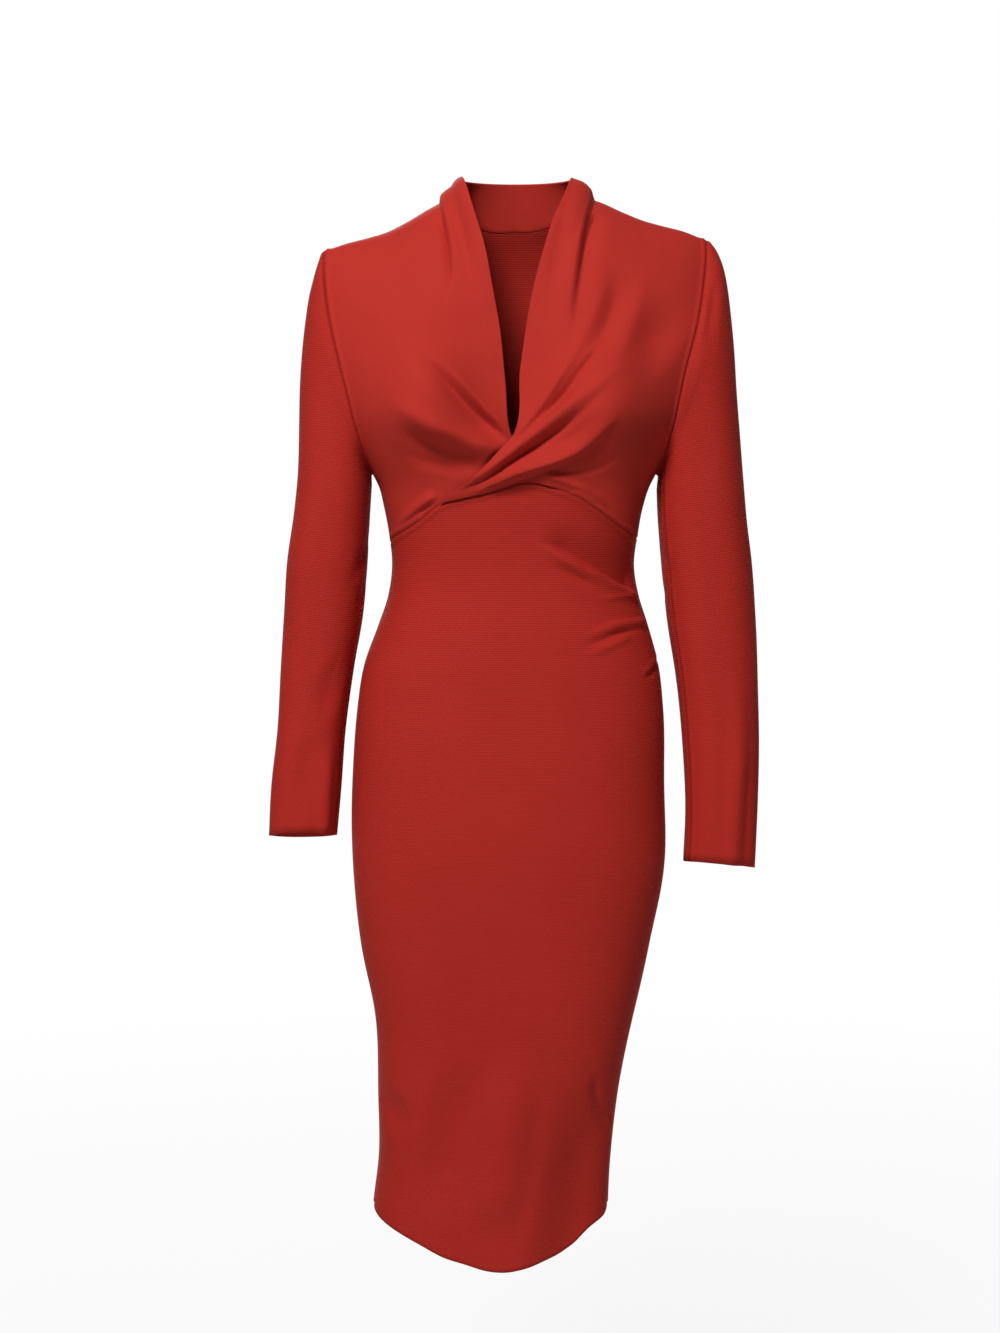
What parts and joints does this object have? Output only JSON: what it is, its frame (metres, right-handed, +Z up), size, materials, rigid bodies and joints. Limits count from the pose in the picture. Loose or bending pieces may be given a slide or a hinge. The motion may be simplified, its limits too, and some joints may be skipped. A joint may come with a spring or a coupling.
{
  "type": "dress",
  "caption": "Long-sleeved midi bandage dress with a deep V neck, crossed pleated bodice fronts, a standing neck band and a close pencil skirt.",
  "frame": {"origin": "between the shoulders, at the height where the neck meets them, where the wearer carries the dress", "axes": "+Z up, from the hem to the neck; the front faces -Y; the wearer's left is +X"},
  "size_m": [0.4892, 0.2375, 1.0769],
  "materials": {
    "smooth_knit": "matte knit, smooth face",
    "ribbed_knit": "matte bandage knit, fine crosswise ribs"
  },
  "bodies": {
    "root": {"bodice_right": "smooth_knit", "bodice_left": "smooth_knit", "neck_band": "smooth_knit", "front_skirt": "ribbed_knit", "back": "ribbed_knit", "sleeve_right": "ribbed_knit", "sleeve_left": "ribbed_knit"}
  },
  "joints": []
}
